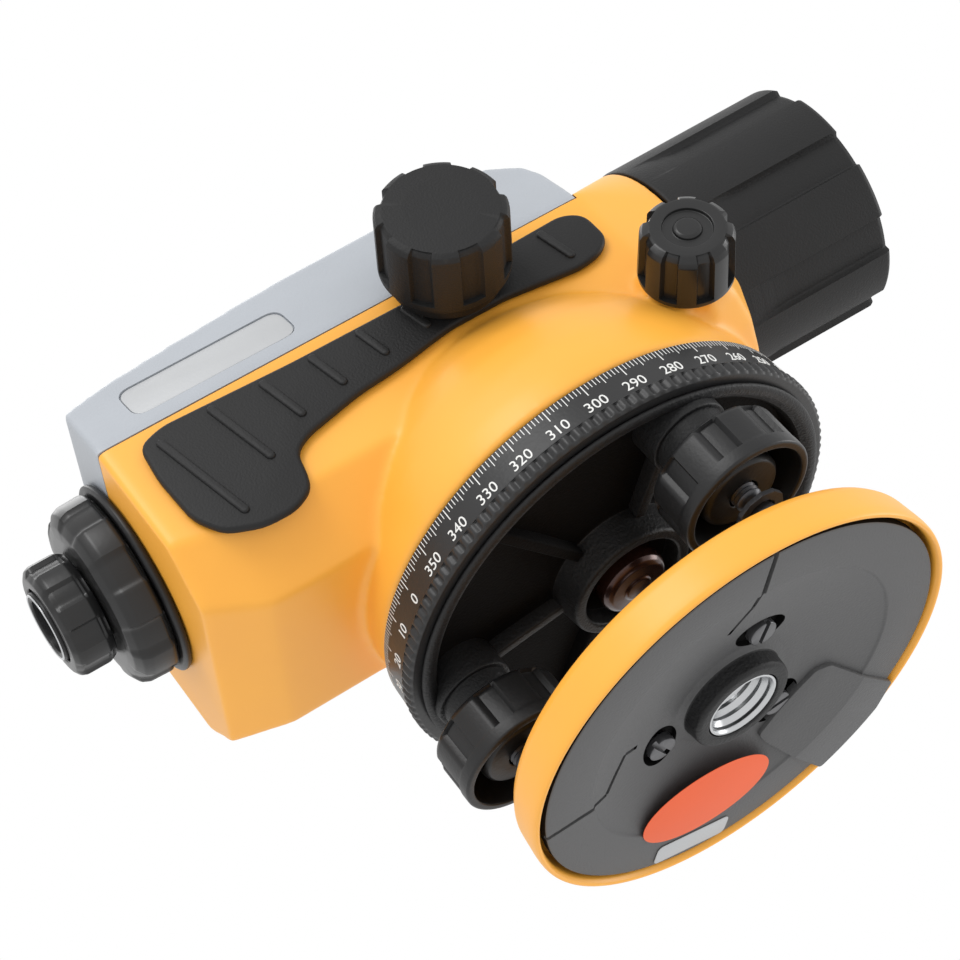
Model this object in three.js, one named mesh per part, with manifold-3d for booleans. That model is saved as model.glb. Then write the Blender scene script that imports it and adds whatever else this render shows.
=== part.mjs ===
// Automatic level: a telescope in a housing that turns on a tribrach with three foot screws.
// Millimetres. +Z is up along the vertical axis, +X points from the eyepiece to the objective.
// The origin is the centre of the base plate's seat, so the tripod head is the plane z = 0.
import * as THREE from 'three';
import { mergeVertices } from 'three/addons/utils/BufferGeometryUtils.js';
import { ConvexGeometry } from 'three/addons/geometries/ConvexGeometry.js';
import Module from 'manifold-3d';

const wasm = await Module();
wasm.setup();

// ---- driving dimensions ----
const GAP = 0.3;
const BASE_R = 52;
const BASE_TOP = 10.6;
const SEAT_INNER_R = 49.9;
const THREAD_R = 7.0;
const SCREW_PITCH_R = 18.5;
const FOOT_PITCH_R = 41;
const FOOT_ANGLE = THREE.MathUtils.degToRad(-70);
const BALL_R = 3.2;
const BALL_Z = 14.2;
const KNOB_RIM_Z = 19.5;
const KNOB_TOP_Z = 33;
const FOOT_KNOB_R = 15;
const TRIBRACH_RIM_Z = 40.3;
const TRIBRACH_TOP_Z = 50;
const HUB_END_Z = 38;
const CIRCLE_TOP_Z = 53.2;
const CIRCLE_BOTTOM_Z = 42;
const CIRCLE_R = 53;
const SIGHT_Z = 101.3;
const BODY_HALF_W = 35;
const BODY_REAR_X = -84;
const BODY_FRONT_X = 34;
const COLLAR_X = 54.6;
const COLLAR_R = 28.2;
const SEAM_Z = 108;
const COVER_FRONT_X = 43;
const LEFT_GRIP_LOW_Z = 77;
const LABEL_Y = -32.8;
const LABEL_Z = 118;
const WALL = 2.6;
const HOOD_START_X = 55;
const HOOD_END_X = 99;
const HOOD_R = 28.6;
const BARREL_R = 25;
const TUBE_R = 19.6;
const CARRIAGE_R = 17.2;
const FOCUS_X = -1;
const FOCUS_Z = 104;
const FOCUS_BASE_Y = 41.5;
const FOCUS_TOP_Y = 57.5;
const FOCUS_R = 14;
const TANGENT_X = 39;
const TANGENT_Z = 73;
const TANGENT_BASE_Y = 40;
const TANGENT_TOP_Y = 54.5;
const TANGENT_R = 10.3;
const EYE_RING_R = 21.2;
const WHEEL_R = 35.3;
const FACET_SHARE = 0.55;

// ---- materials ----
const paint = (color, roughness, metalness) => new THREE.MeshStandardMaterial({ color, roughness, metalness });
const yellow = () => paint(0xffab3a, 0.42, 0.0);
const grey = () => paint(0xc3c9d1, 0.45, 0.1);
const black = () => paint(0x2a2b2d, 0.55, 0.0);
const rubber = () => paint(0x303132, 0.85, 0.0);
const steel = () => paint(0xb8bbbf, 0.3, 1.0);
const brass = () => paint(0xb59247, 0.35, 1.0);
const glass = () => paint(0xcfe0ee, 0.05, 0.0);

// ---- solids ----
function signedVolume(position, index) {
  const a = new THREE.Vector3();
  const b = new THREE.Vector3();
  const c = new THREE.Vector3();
  let sum = 0;
  for (let i = 0; i < index.length; i += 3) {
    a.fromBufferAttribute(position, index[i]);
    b.fromBufferAttribute(position, index[i + 1]);
    c.fromBufferAttribute(position, index[i + 2]);
    sum += a.dot(b.cross(c));
  }
  return sum / 6;
}

function solid(geometry) {
  const plain = geometry.clone();
  plain.deleteAttribute('normal');
  plain.deleteAttribute('uv');
  const merged = mergeVertices(plain, 1e-4);
  const source = merged.index.array;
  const index = [];
  for (let i = 0; i < source.length; i += 3) {
    const [a, b, c] = [source[i], source[i + 1], source[i + 2]];
    if (a !== b && b !== c && c !== a) index.push(a, b, c);
  }
  if (signedVolume(merged.attributes.position, index) < 0) index.reverse();
  return new wasm.Manifold(new wasm.Mesh({
    numProp: 3,
    vertProperties: new Float32Array(merged.attributes.position.array),
    triVerts: new Uint32Array(index),
  }));
}

function geometryOf(body) {
  const mesh = body.getMesh();
  const geometry = new THREE.BufferGeometry();
  geometry.setAttribute('position', new THREE.BufferAttribute(new Float32Array(mesh.vertProperties), 3));
  geometry.setIndex(new THREE.BufferAttribute(new Uint32Array(mesh.triVerts), 1));
  geometry.computeVertexNormals();
  return geometry;
}

// Turns a [radius, height] profile about one axis; a profile off the axis closes on itself.
function turned(profile, segments = 32, axis = 'z') {
  const points = profile.map(([r, h]) => new THREE.Vector2(r, h));
  if (profile[0][0] > 0) points.push(points[0].clone());
  const geometry = new THREE.LatheGeometry(points, Math.max(8, Math.round(segments * FACET_SHARE)));
  if (axis === 'z') geometry.rotateX(Math.PI / 2);
  if (axis === 'x') geometry.rotateZ(-Math.PI / 2);
  return solid(geometry);
}

function rod(radius, from, to, axis = 'z', segments = 20) {
  return turned([[0, from], [radius, from], [radius, to], [0, to]], segments, axis);
}

function tube(outer, inner, from, to, axis = 'z', segments = 32) {
  return turned([[inner, from], [outer, from], [outer, to], [inner, to]], segments, axis);
}

function block(x0, x1, y0, y1, z0, z1) {
  const geometry = new THREE.BoxGeometry(x1 - x0, y1 - y0, z1 - z0);
  geometry.translate((x0 + x1) / 2, (y0 + y1) / 2, (z0 + z1) / 2);
  return solid(geometry);
}

function hull(points) {
  return solid(new ConvexGeometry(points.map(([x, y, z]) => new THREE.Vector3(x, y, z))));
}

// A plate extruded along one axis from an outline of [u, v] pairs.
function plate(outline, depth, holes = []) {
  const shape = new THREE.Shape(outline.map(([u, v]) => new THREE.Vector2(u, v)));
  for (const hole of holes) shape.holes.push(new THREE.Path(hole.map(([u, v]) => new THREE.Vector2(u, v))));
  return new THREE.ExtrudeGeometry(shape, { depth, bevelEnabled: false });
}

function ringOutline(radius, count, cx = 0, cy = 0) {
  const points = [];
  for (let i = 0; i < count; i += 1) {
    const a = (i / count) * 2 * Math.PI;
    points.push([cx + radius * Math.cos(a), cy + radius * Math.sin(a)]);
  }
  return points;
}

// Outline of a grip with raised lobes and lower flats between them.
function lobedOutline(high, low, lobes, share = 0.62) {
  const points = [];
  for (let i = 0; i < lobes; i += 1) {
    const start = (i / lobes) * 2 * Math.PI;
    const step = (2 * Math.PI) / lobes;
    for (const t of [0, share / 2, share]) {
      points.push([high * Math.cos(start + t * step), high * Math.sin(start + t * step)]);
    }
    for (const t of [share + 0.04, 0.96]) {
      points.push([low * Math.cos(start + t * step), low * Math.sin(start + t * step)]);
    }
  }
  return points;
}

function lobed(high, low, lobes, from, to, axis = 'z') {
  const geometry = plate(lobedOutline(high, low, lobes), to - from);
  geometry.translate(0, 0, from);
  if (axis === 'x') geometry.rotateY(Math.PI / 2);
  if (axis === 'y') geometry.rotateX(-Math.PI / 2);
  return solid(geometry);
}

const at = (body, x, y, z) => body.translate([x, y, z]);
const footPoint = (i) => {
  const a = FOOT_ANGLE + (i * 2 * Math.PI) / 3;
  return [FOOT_PITCH_R * Math.cos(a), FOOT_PITCH_R * Math.sin(a)];
};
const screwPoint = (i) => {
  const a = FOOT_ANGLE + (i * 2 * Math.PI) / 3;
  return [SCREW_PITCH_R * Math.cos(a), SCREW_PITCH_R * Math.sin(a)];
};

const group = new THREE.Group();
group.name = 'automatic_level';

function add(name, body, material, place = [0, 0, 0]) {
  const mesh = new THREE.Mesh(geometryOf(body), material);
  mesh.name = name;
  mesh.position.set(...place);
  group.add(mesh);
}

// ---- base: ring, under-cover, tripod thread, three screws ----
function buildBase() {
  let ring = turned([
    [SEAT_INNER_R, 0], [BASE_R - 0.6, 0], [BASE_R, 0.8], [BASE_R, 2.4], [BASE_R - 0.7, 8.4],
    [BASE_R - 1.7, 10.1], [BASE_R - 2.8, BASE_TOP], [9.2, BASE_TOP], [9.2, 8.2], [48.4, 8.2], [SEAT_INNER_R, 6.4],
  ], 56);
  let cover = turned([
    [8.8, 0.4], [10.4, 0.4], [11, 1], [14.6, 3], [16, 3], [40, 0.8], [49.5, 0.8], [49.5, 3.2],
    [40, 3.6], [16, 6.6], [8.8, 7.8],
  ], 48);
  for (let i = 0; i < 3; i += 1) {
    const [x, y] = screwPoint(i);
    ring = ring.subtract(at(rod(1.7, 8, 11, 'z', 12), x, y, 0));
    cover = cover.subtract(at(rod(3.3, 0, 4.1, 'z', 16), x, y, 0));
    cover = cover.subtract(at(rod(1.7, 4, 9, 'z', 12), x, y, 0));
  }
  add('base_ring', ring, yellow());
  add('base_cover', cover, black());
  add('tripod_thread_insert', turned([
    [THREAD_R, 1.6], [8, 0.6], [8.45, 0.6], [8.45, 10.9], [13, 10.9], [13, 12.2], [THREAD_R, 12.2],
  ], 28), steel());
  for (let i = 0; i < 3; i += 1) {
    const [x, y] = screwPoint(i);
    const head = turned([[0, 2.2], [2.9, 2.2], [2.9, 3.8], [1.4, 3.8], [1.4, 9.8], [0, 9.8]], 14);
    const slot = block(-0.45, 0.45, -4, 4, 1.5, 3);
    add(`base_screw_${i + 1}`, head.subtract(slot), steel(), [x, y, 0]);
  }
  const disc = rod(1, 0, 0.15, 'z', 32).scale([16.8, 10.4, 1]).rotate([0, 0, 9]);
  add('caution_disc', disc, paint(0xe8673f, 0.6, 0), [-8.4, 29.6, 0.35]);
  add('serial_plate', block(-9.8, 9.8, -2.3, 2.3, 0, 0.2).rotate([0, 0, 11]),
    paint(0xd8dadc, 0.4, 0.4), [-10.4, 44.5, 0.3]);
}

// ---- spring plate: three arms that hold the ball ends down ----
function buildSpringPlate() {
  let star = tube(19, 14, 15.6, 16.6, 'z', 32);
  for (let i = 0; i < 3; i += 1) {
    const a = FOOT_ANGLE + (i * 2 * Math.PI) / 3;
    const arm = block(16, FOOT_PITCH_R, -4.5, 4.5, 15.6, 16.6).rotate([0, 0, THREE.MathUtils.radToDeg(a)]);
    const [x, y] = footPoint(i);
    star = star.add(arm).add(at(rod(5.6, 15.6, 16.6, 'z', 20), x, y, 0));
    star = star.subtract(at(rod(3.5, 15, 17, 'z', 20), x, y, 0));
  }
  add('spring_plate', star, steel());
}

// ---- tribrach: bowl with ribs, a central hub and three bosses ----
function buildTribrach() {
  let body = turned([
    [50.6, TRIBRACH_RIM_Z], [51.3, 40.8], [51.3, 41.6], [49.3, 41.6], [49.3, TRIBRACH_TOP_Z],
    [8.4, TRIBRACH_TOP_Z], [8.4, 44], [12, 43.2], [12, HUB_END_Z], [14.8, HUB_END_Z], [15.5, 46], [46.8, 46], [47, 42], [49.4, TRIBRACH_RIM_Z],
  ], 48);
  for (let i = 0; i < 12; i += 1) {
    const rib = block(14.8, 47.6, -0.8, 0.8, 42, 46.4).rotate([0, 0, i * 30 + 5]);
    body = body.add(rib);
  }
  for (let i = 0; i < 3; i += 1) {
    const [x, y] = footPoint(i);
    body = body.add(at(rod(8.2, 34.6, 47, 'z', 24), x, y, 0));
    body = body.subtract(at(rod(4.9, 34, 46, 'z', 20), x, y, 0));
  }
  add('tribrach_body', body, black());
  for (let i = 0; i < 3; i += 1) {
    const [x, y] = footPoint(i);
    add(`foot_bush_${i + 1}`, tube(4.6, 3.35, 34.9, 45.4, 'z', 20), brass(), [x, y, 0]);
  }
}

// ---- foot screws: ball-ended spindle and lobed cup knob ----
function buildFootScrews() {
  const ball = [[0, BALL_Z - BALL_R]];
  for (let k = 1; k <= 5; k += 1) {
    const a = -Math.PI / 2 + (k / 7) * Math.PI;
    ball.push([BALL_R * Math.cos(a), BALL_Z + BALL_R * Math.sin(a)]);
  }
  const spindle = turned([...ball, [1.9, 17], [1.9, 18.4], [3, 19.4], [3, 43.6], [0, 43.6]], 20);
  const cup = lobed(FOOT_KNOB_R, FOOT_KNOB_R - 1, 8, KNOB_RIM_Z + 3.2, KNOB_TOP_Z - 1.4)
    .add(rod(FOOT_KNOB_R - 0.9, KNOB_RIM_Z, KNOB_TOP_Z, 'z', 32))
    .subtract(rod(FOOT_KNOB_R - 2.6, KNOB_RIM_Z - 1, KNOB_TOP_Z - 2.4, 'z', 32))
    .add(rod(5.6, KNOB_RIM_Z + 4, KNOB_TOP_Z - 2, 'z', 20))
    .subtract(rod(3.35, KNOB_RIM_Z - 1, KNOB_TOP_Z + 1, 'z', 20));
  for (let i = 0; i < 3; i += 1) {
    const [x, y] = footPoint(i);
    add(`foot_spindle_${i + 1}`, spindle, steel(), [x, y, 0]);
    add(`foot_knob_${i + 1}`, cup, black(), [x, y, 0]);
  }
}

// ---- horizontal circle and worm wheel ----
function buildCircles() {
  add('horizontal_circle', turned([
    [49.8, CIRCLE_BOTTOM_Z], [53.6, CIRCLE_BOTTOM_Z], [53.9, 42.6], [53.8, 44.6], [53.4, 45],
    [CIRCLE_R, CIRCLE_TOP_Z], [49.8, CIRCLE_TOP_Z],
  ], 60), black());
  add('worm_wheel', turned([
    [9, 50.4], [12, 50.4], [12, 70.6], [WHEEL_R, 70.6], [WHEEL_R, 75.4], [30, 75.4], [30, 73.2], [9, 73.2],
  ], 40), brass());
}

// ---- housing shell ----
function boxSection(x, bottomHalf, bottomZ, half, shoulderZ, topZ) {
  const points = [];
  for (const s of [-1, 1]) {
    points.push([x, s * bottomHalf, bottomZ], [x, s * half, shoulderZ], [x, s * half, topZ]);
  }
  return points;
}

function collarSection(x, radius) {
  return ringOutline(radius, 20).map(([u, v]) => [x, u, SIGHT_Z + v]);
}

function housingForm(inset, top) {
  const rear = BODY_REAR_X + inset;
  const half = BODY_HALF_W - inset;
  const lift = inset;
  const boxForm = hull([
    ...boxSection(rear, 25 - inset, 68.7 + lift, half, 80, top),
    ...boxSection(-71, 22.6 - inset, 63.7 + lift, half, 77, top),
    ...boxSection(BODY_FRONT_X, 22.6 - inset, 63.7 + lift, half, 77, top),
  ]);
  const front = hull([
    ...boxSection(BODY_FRONT_X - 0.01, 22.6 - inset, 63.7 + lift, half, 77, 126 - inset),
    ...collarSection(COLLAR_X - inset, COLLAR_R - inset),
  ]);
  const dome = turned([
    [0, 53.6 - inset * 2], [51.8 - inset, 53.6 - inset * 2], [51.4 - inset, 60], [50 - inset, 67],
    [47.6 - inset, 74], [44 - inset, 80.5], [39.6 - inset, 86.5 - inset / 2], [34 - inset, 91.5 - inset],
    [0, 91.5 - inset],
  ], 56);
  return boxForm.add(front).add(dome);
}

function buildHousing() {
  let shell = housingForm(0, SEAM_Z);
  shell = shell.subtract(block(-100, COVER_FRONT_X, -60, 60, SEAM_Z, 140));
  for (const s of [-1, 1]) {
    const boss = turned([[0, 18], [10.5, 18], [9, 30], [8.4, TANGENT_BASE_Y - GAP], [0, TANGENT_BASE_Y - GAP]], 24, 'y');
    shell = shell.add(at(s > 0 ? boss : boss.mirror([0, 1, 0]), TANGENT_X, 0, TANGENT_Z));
  }
  shell = shell.subtract(housingForm(WALL, SEAM_Z + 4));
  for (const s of [-1, 1]) {
    const bore = rod(2.9, 15, 45, 'y', 16);
    shell = shell.subtract(at(s > 0 ? bore : bore.mirror([0, 1, 0]), TANGENT_X, 0, TANGENT_Z));
  }
  shell = shell.subtract(at(rod(BARREL_R + GAP, 44, 60, 'x', 36), 0, 0, SIGHT_Z));
  shell = shell.subtract(at(rod(9.2, -90, -78, 'x', 24), 0, 0, SIGHT_Z));
  shell = shell.subtract(at(rod(2.5, -60, -20, 'y', 16), FOCUS_X, 0, FOCUS_Z));
  add('main_housing', shell, yellow());
}

function coverForm(inset) {
  const low = SEAM_Z + GAP - inset * 2;
  const side = BODY_HALF_W + 0.3 - inset;
  const points = [];
  for (const s of [-1, 1]) {
    points.push([BODY_REAR_X + inset, s * side, low]);
    points.push([BODY_REAR_X + inset, s * (31.4 - inset), 121.5 - inset]);
    points.push([BODY_REAR_X + inset, s * 12, 124 - inset]);
    points.push([0, s * (31 - inset), 128.4 - inset]);
    points.push([30, s * (30.6 - inset), 128 - inset]);
    points.push([BODY_FRONT_X, s * side, low]);
    points.push([COVER_FRONT_X - GAP - inset, s * (32 - inset), low]);
    for (const turn of [0, 30, 60, 90]) {
      const a = THREE.MathUtils.degToRad(turn);
      const y = 19.7 + 12.3 * Math.cos(a) - inset;
      points.push([COVER_FRONT_X - GAP - inset, s * y, 115.2 + 12.3 * Math.sin(a) - inset]);
    }
  }
  const hump = [];
  for (const s of [-1, 1]) {
    hump.push([-34, s * (24 - inset), 120], [-25 + inset, s * (19 - inset), 137 - inset]);
    hump.push([-20 + inset, s * (15 - inset), 139.5 - inset], [28 - inset, s * (15 - inset), 138 - inset]);
    hump.push([33 - inset, s * (19 - inset), 135.5 - inset], [COVER_FRONT_X - 0.5 - inset, s * (22 - inset), 118]);
  }
  return hull(points).add(hull(hump));
}

function buildCover() {
  const lid = coverForm(0).subtract(coverForm(2.4));
  const groove = block(-40, 60, -1.6, 1.6, 137.6, 142);
  const window = at(rod(5.4, -40, -15, 'x', 20), 0, 0, 131);
  const pocket = block(-71.1, -34.1, -2, 0.8, -5, 5).rotate([-14.5, 0, 0]);
  const tubeWay = at(rod(TUBE_R + 0.7, 30, 60, 'x', 36), 0, 0, SIGHT_Z);
  const ocularWay = at(rod(9.2, -90, -78, 'x', 24), 0, 0, SIGHT_Z);
  const open = lid.subtract(groove).subtract(window).subtract(tubeWay).subtract(ocularWay);
  add('top_cover', open.subtract(at(pocket, 0, LABEL_Y, LABEL_Z)), grey());
  const face = block(-70.6, -34.6, 0.15, 0.75, -4.6, 4.6).rotate([-14.5, 0, 0]);
  add('label_plate', at(face, 0, LABEL_Y, LABEL_Z), paint(0xd9dcdf, 0.4, 0.3));
}

// Outline of the side grip in the x-z plane.
const GRIP_OUTLINE = [
  [-77.6, 94], [-76.6, 103], [-70.5, 105.4], [-40, 104], [0, 103.6], [29, 104.4], [32.4, 101.5], [33, 93.5],
  [30, 90.6], [24, 89.4], [6, 91.8], [-8, 91.8], [-22, 89.6], [-33, 88.6], [-47, 85.4], [-51, 83.2],
  [-52.2, 78], [-54, 74], [-58.5, 71.2], [-66, 71.6], [-73.5, 75], [-77, 81.5],
];

function buildGrips() {
  for (const s of [-1, 1]) {
    const geometry = plate(GRIP_OUTLINE, 2.2);
    geometry.rotateX(Math.PI / 2);
    geometry.translate(0, s * (BODY_HALF_W + GAP + 1.1) + 1.1, 0);
    let pad = solid(geometry);
    if (s < 0) pad = pad.subtract(at(rod(3, -45, -30, 'y', 16), FOCUS_X, 0, FOCUS_Z));
    pad = pad.intersect(block(-90, 60, -60, 60, 79.5, SEAM_Z - 0.5).add(block(-90, -50, -60, 60, 70, 80)));
    if (s > 0) pad = pad.subtract(block(-90, -40, 30, 60, 60, LEFT_GRIP_LOW_Z));
    add(s < 0 ? 'side_grip_right' : 'side_grip_left', trimGrip(pad, s), rubber());
  }
}

// Keeps the pad clear of the dome and off the sloping lower corner of the box.
function trimGrip(pad, s) {
  return pad.subtract(housingForm(-0.25, SEAM_Z)).subtract(block(-90, 60, s > 0 ? 30 : -35.2, s > 0 ? 35.2 : -30, 60, 120));
}

// ---- vertical axis ----
function buildAxis() {
  add('vertical_spindle', turned([
    [0, 36], [7.4, 36], [8, 37.5], [8, 76], [29, 76], [31.5, 77], [31.5, 80.5], [0, 80.5],
  ], 28), steel());
}

// ---- telescope ----
function buildTelescope() {
  let body = tube(TUBE_R, TUBE_R - 2, -22, 45.4, 'x', 36);
  body = at(body, 0, 0, SIGHT_Z);
  body = body.subtract(at(rod(3, -30, -12, 'y', 16), FOCUS_X, 0, FOCUS_Z));
  add('telescope_tube', body, black());
  add('objective_barrel', at(turned([
    [22.6, 46], [BARREL_R, 46], [BARREL_R, 90], [23.4, 90], [22.6, 76.4],
  ], 36, 'x'), 0, 0, SIGHT_Z), black());
  const hood = at(turned([
    [25.5, HOOD_START_X], [28, HOOD_START_X], [28, HOOD_START_X + 2], [HOOD_R, HOOD_END_X - 1],
    [HOOD_R - 0.8, HOOD_END_X], [26.2, HOOD_END_X], [25.5, HOOD_END_X - 6],
  ], 48, 'x'), 0, 0, SIGHT_Z);
  add('objective_hood', hood, rubber());
  add('objective_lens_front', lens(22.2, 68.8, 2.2, 2, 0.6), glass());
  add('objective_lens_rear', lens(22.2, 63.8, 2.6, 0.8, 0.8), glass());
  add('objective_lens_ring', at(tube(22.3, 20.4, 73.4, 75.6, 'x', 32), 0, 0, SIGHT_Z), black());
}

// A lens of one rim radius, with the rim's start, its width and the rise of each face.
function lens(radius, start, width, frontRise, backRise) {
  return at(turned([
    [0, start - backRise], [radius * 0.55, start - backRise * 0.7], [radius, start], [radius, start + width],
    [radius * 0.55, start + width + frontRise * 0.7], [0, start + width + frontRise],
  ], 32, 'x'), 0, 0, SIGHT_Z);
}

// ---- focusing: knob, pinion, carriage, rack, lens ----
function buildFocusing() {
  const knob = lobed(FOCUS_R, FOCUS_R - 0.9, 8, -FOCUS_TOP_Y + 2, -FOCUS_BASE_Y - 1, 'y')
    .add(turned([
      [0, -FOCUS_TOP_Y], [9, -FOCUS_TOP_Y + 0.2], [12.6, -FOCUS_TOP_Y + 0.9], [13.4, -FOCUS_TOP_Y + 2],
      [13.4, -FOCUS_BASE_Y], [0, -FOCUS_BASE_Y],
    ], 36, 'y'))
    .subtract(rod(2.3, -FOCUS_BASE_Y - 11, -FOCUS_BASE_Y + 1, 'y', 16));
  add('focus_knob', at(knob, FOCUS_X, 0, FOCUS_Z), rubber());
  const shaft = rod(2, -FOCUS_BASE_Y - 10, -17.6, 'y', 16).add(lobed(2.2, 1.7, 9, -18, -15, 'y'));
  add('focus_pinion', at(shaft, FOCUS_X, 0, FOCUS_Z), brass());
  add('focus_collar', at(tube(12.4, 3, -FOCUS_BASE_Y + 0.4, -38, 'y', 32), FOCUS_X, 0, FOCUS_Z), black());
  let carriage = at(tube(CARRIAGE_R, 15, -11, 20, 'x', 36), 0, 0, SIGHT_Z);
  carriage = carriage.subtract(block(-40, 40, -20, -13.5, 97.8, 110));
  add('focus_carriage', carriage, brass());
  let rack = block(-13, 13, -16.5, -14.9, 98.2, 101);
  for (let i = 0; i < 13; i += 1) {
    rack = rack.add(block(-12.6 + i * 2, -11.8 + i * 2, -16.5, -14.9, 100.8, 101.5));
  }
  add('focus_rack', rack, steel());
  add('focusing_lens', lens(14.6, 4, 2.6, -0.8, -0.8), glass());
}

// ---- tangent drive: worm across the front with a knob at each side ----
function buildTangent() {
  const shaft = rod(2.5, -50, 50, 'y', 16).add(rod(3.3, -8, 8, 'y', 20));
  add('tangent_worm', at(shaft, TANGENT_X, 0, TANGENT_Z), steel());
  for (const s of [-1, 1]) {
    let knob = lobed(TANGENT_R, TANGENT_R - 0.9, 8, TANGENT_BASE_Y + 1, TANGENT_TOP_Y - 1, 'y')
      .add(rod(9.2, TANGENT_BASE_Y, TANGENT_TOP_Y, 'y', 32))
      .subtract(tube(5.4, 3.1, TANGENT_TOP_Y - 0.8, TANGENT_TOP_Y + 1, 'y', 24))
      .subtract(rod(2.8, TANGENT_BASE_Y - 1, 50.4, 'y', 16));
    if (s < 0) knob = knob.mirror([0, 1, 0]);
    add(s < 0 ? 'tangent_knob_right' : 'tangent_knob_left', at(knob, TANGENT_X, 0, TANGENT_Z), black());
  }
}

// ---- eyepiece ----
function buildEyepiece() {
  add('eyepiece_flange', at(turned([
    [9.2, -84.3], [21.8, -84.3], [22.4, -84.8], [22.4, -85.6], [21.8, -86.1], [9.2, -86.1],
  ], 36, 'x'), 0, 0, SIGHT_Z), black());
  const ring = lobed(EYE_RING_R, EYE_RING_R - 1, 8, -94.6, -87.2, 'x')
    .add(turned([[0, -96], [18.6, -96], [20, -94.6], [20, -86.4], [0, -86.4]], 32, 'x'))
    .subtract(rod(9.2, -98, -80, 'x', 24));
  add('eyepiece_ring', at(ring, 0, 0, SIGHT_Z), black());
  const diopter = lobed(13, 12.1, 8, -104.6, -98.2, 'x')
    .add(rod(11.8, -106, -96.4, 'x', 32))
    .subtract(rod(8.7, -110, -90, 'x', 24));
  add('diopter_ring', at(diopter, 0, 0, SIGHT_Z), black());
  add('ocular_barrel', at(turned([
    [6.2, -106.8], [7.6, -106.8], [8.1, -106.2], [8.1, -76], [6.2, -76],
  ], 28, 'x'), 0, 0, SIGHT_Z), steel());
  add('eye_lens', at(rod(5.9, -104, -100, 'x', 20), 0, 0, SIGHT_Z), glass());
  add('reticle_cell', at(tube(12, 8.4, -75, -71, 'x', 28), 0, 0, SIGHT_Z), brass());
  add('reticle', at(rod(8.1, -74, -72.6, 'x', 24), 0, 0, SIGHT_Z), glass());
}

// ---- compensator: fixed yoke and prisms, and a pendulum that hangs between them ----
function buildCompensator() {
  const yoke = block(-64, -26, -17, 17, 84, 119)
    .subtract(block(-66, -24, -14, 14, 87, 116))
    .subtract(block(-60, -30, -20, 20, 90, 112));
  add('compensator_yoke', yoke, brass());
  const wedge = (x0, x1, z0, z1, flip) => hull([
    [x0, -8, z0], [x1, -8, z0], [flip ? x0 : x1, -8, z1],
    [x0, 8, z0], [x1, 8, z0], [flip ? x0 : x1, 8, z1],
  ]);
  add('prism_front', wedge(-38, -28, 95, 107, false), glass());
  add('prism_rear', wedge(-62, -52, 95, 107, true), glass());
  const bob = block(-49, -41, -9, 9, 88.6, 90.6).add(block(-46, -44, -9, -7, 89, 115)).add(block(-46, -44, 7, 9, 89, 115))
    .add(block(-46, -44, -9, 9, 113.6, 115));
  add('pendulum_frame', bob, steel());
  add('pendulum_prism', block(-50, -40, -6, 6, 91, 99), glass());
}

// ---- circular level seen through the window in the hump ----
function buildLevel() {
  add('level_cup', turned([[0, 125.4], [8.2, 125.4], [8.2, 131], [6.9, 131], [6.9, 127], [0, 127]], 24), black(), [0, 0, 0]);
  add('level_vial', turned([[0, 127.4], [6.6, 127.4], [6.6, 130.6], [4, 131.6], [0, 132]], 24), glass(), [0, 0, 0]);
  add('level_window', at(rod(5, -26.6, -24.6, 'x', 20), 0, 0, 131), glass());
}

buildBase();
buildSpringPlate();
buildTribrach();
buildFootScrews();
buildCircles();
buildHousing();
buildCover();
buildGrips();
buildAxis();
buildTelescope();
buildFocusing();
buildTangent();
buildEyepiece();
buildCompensator();
buildLevel();

export default group;
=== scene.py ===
import math
import bpy
import bmesh
from mathutils import Matrix, Vector


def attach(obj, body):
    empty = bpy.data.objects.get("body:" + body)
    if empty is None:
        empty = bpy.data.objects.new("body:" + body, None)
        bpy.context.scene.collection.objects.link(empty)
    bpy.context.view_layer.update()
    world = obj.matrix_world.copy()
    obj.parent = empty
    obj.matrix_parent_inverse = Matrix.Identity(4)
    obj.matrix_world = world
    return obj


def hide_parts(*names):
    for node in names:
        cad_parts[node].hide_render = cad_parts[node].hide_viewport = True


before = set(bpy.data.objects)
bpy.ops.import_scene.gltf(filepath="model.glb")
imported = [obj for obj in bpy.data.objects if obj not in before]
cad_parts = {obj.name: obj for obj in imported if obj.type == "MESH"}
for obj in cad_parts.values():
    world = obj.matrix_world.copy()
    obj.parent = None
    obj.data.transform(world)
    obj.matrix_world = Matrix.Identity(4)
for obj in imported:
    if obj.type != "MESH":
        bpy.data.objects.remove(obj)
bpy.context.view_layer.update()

# Lengths in the tables below are in mm. MM turns them into metres.
MM = 0.001
SIGHT_Z = 101.3
SIGHT = (0, 0, SIGHT_Z)
FOCUS_AXIS = (-1, 0, 104)
TANGENT_AXIS = (39, 0, 73)
FOOT_ANGLE = math.radians(-70)
FOOT_PITCH_R = 41
SCREW_PITCH_R = 18.5
HOUSING_SEAM_Z = 108
COVER_SEAM_Z = 108.3
LABEL_PLACE = (0, -32.98, 117.4)
LABEL_LEAN_DEG = -14.5
# The circle: its band from rim to top, the scale's zero and the numbers.
CIRCLE_TOP_Z = 53.2
CIRCLE_TOP_R = 53.0
CIRCLE_BAND = 8.4
CIRCLE_FLARE = 0.55
CIRCLE_ZERO_DEG = -153
KNURL_TEETH = 120
TICK_TOP_Z = 52.75
DIGIT_Z = 47.1
DIGIT_R = 53.2
DIGIT_SIZE = 3.5
# The hood's recesses: how many, where the first starts, and each one's share of a pitch.
HOOD_RECESSES = 8
HOOD_PHASE = 0.73
HOOD_SHARE = 0.415
HOOD_EDGE = 0.016
HOOD_DEPTH = 1.45
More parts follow.
